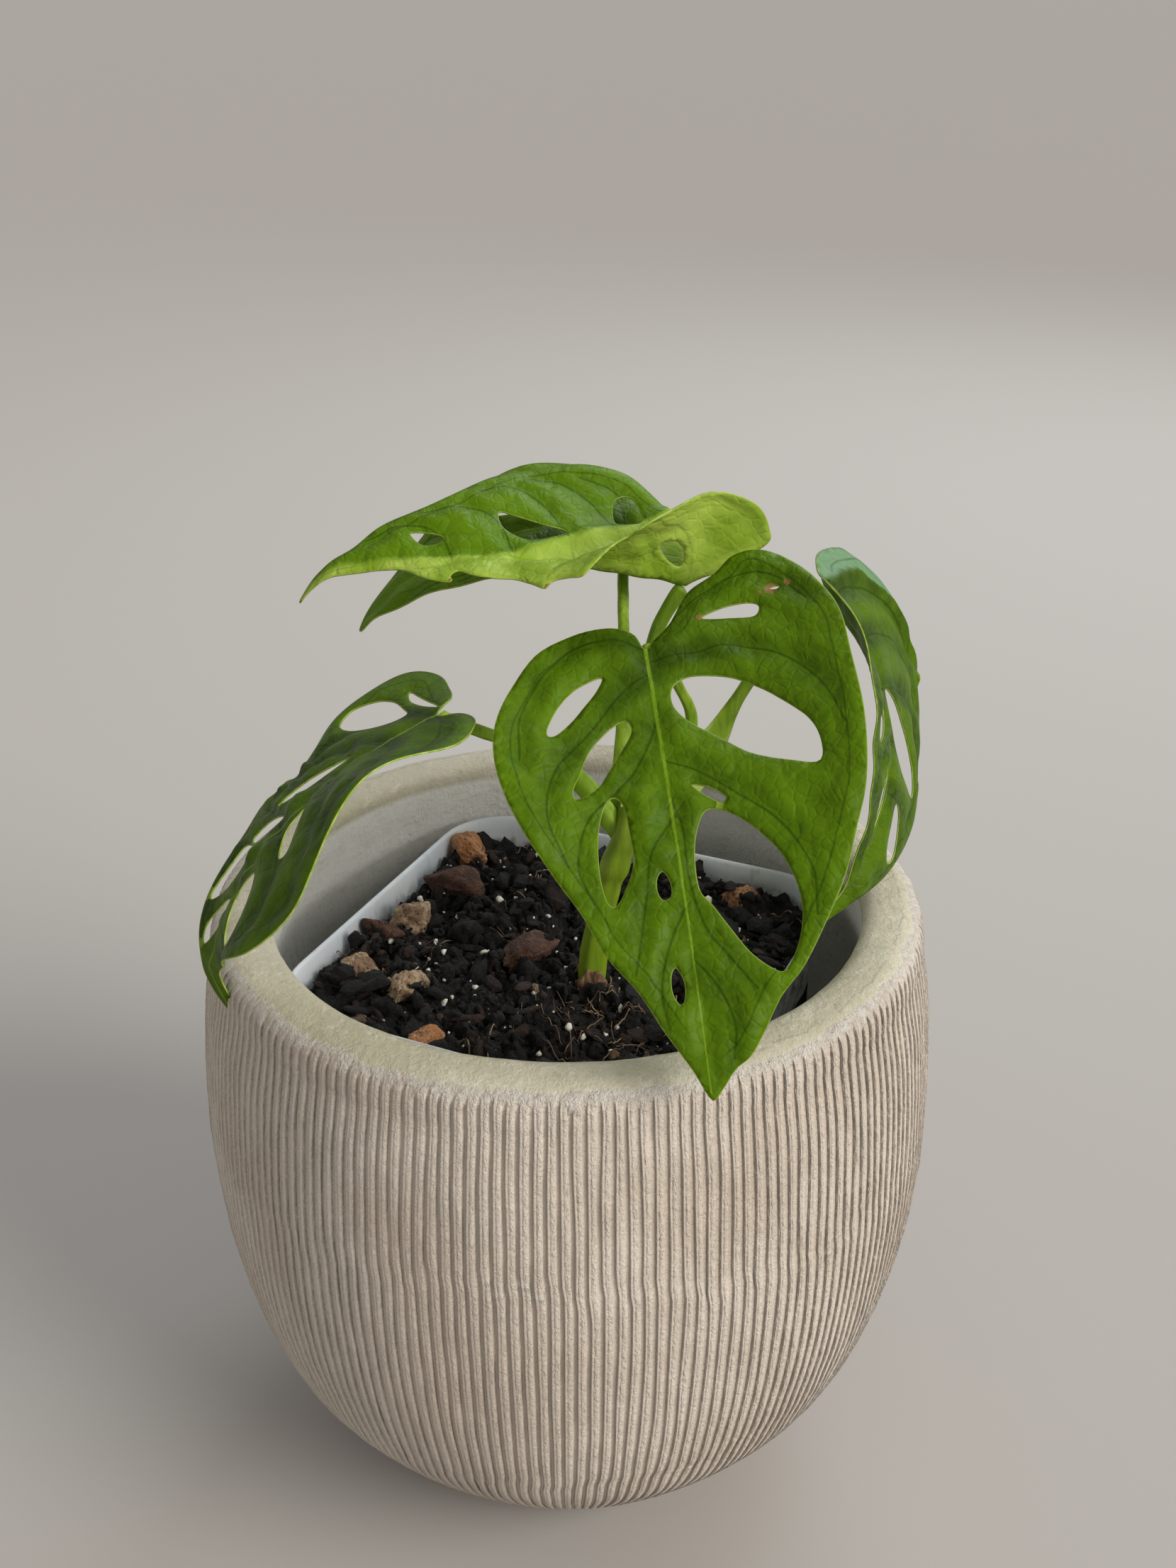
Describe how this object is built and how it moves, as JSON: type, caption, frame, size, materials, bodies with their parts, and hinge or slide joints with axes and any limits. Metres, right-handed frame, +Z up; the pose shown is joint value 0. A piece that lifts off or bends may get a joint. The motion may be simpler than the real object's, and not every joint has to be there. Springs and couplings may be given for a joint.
{
  "type": "potted monstera plant",
  "caption": "Young Swiss cheese plant with pierced heart-shaped leaves, in a square nursery pot inside a round ribbed cover pot.",
  "frame": {"origin": "middle of the cover pot's foot, on the surface that it stands on", "axes": "+Z up the pot's turned axis; the largest leaf hangs over the rim towards -Y, and +X is to the right seen from there"},
  "size_m": [0.17, 0.1713, 0.2417],
  "materials": {
    "stoneware": "matt ribbed stoneware with a thin cream glaze on the rim",
    "nursery_plastic": "thin pale grey nursery plastic",
    "potting_mix": "damp bark and peat potting mix",
    "pumice": "rough tan pumice and fired clay lumps",
    "bark": "dark orchid bark chips",
    "stem": "smooth pale green living stem",
    "leaf": "satin mid green leaf, paler below"
  },
  "bodies": {
    "root": {"cover_pot": "stoneware", "nursery_pot": "nursery_plastic", "potting_mix": "potting_mix", "pumice_left": "pumice", "pumice_front_left": "pumice", "pumice_rim": "pumice", "pumice_front": "pumice", "clay_back": "pumice", "clay_right": "pumice", "bark_back": "bark", "bark_middle": "bark", "bark_left": "bark", "main_stem": "stem", "petiole_front": "stem", "petiole_top": "stem", "petiole_rear": "stem", "petiole_left": "stem", "petiole_right": "stem", "leaf_front": "leaf", "leaf_left": "leaf", "leaf_right": "leaf", "leaf_top": "leaf", "leaf_rear": "leaf"}
  },
  "joints": []
}
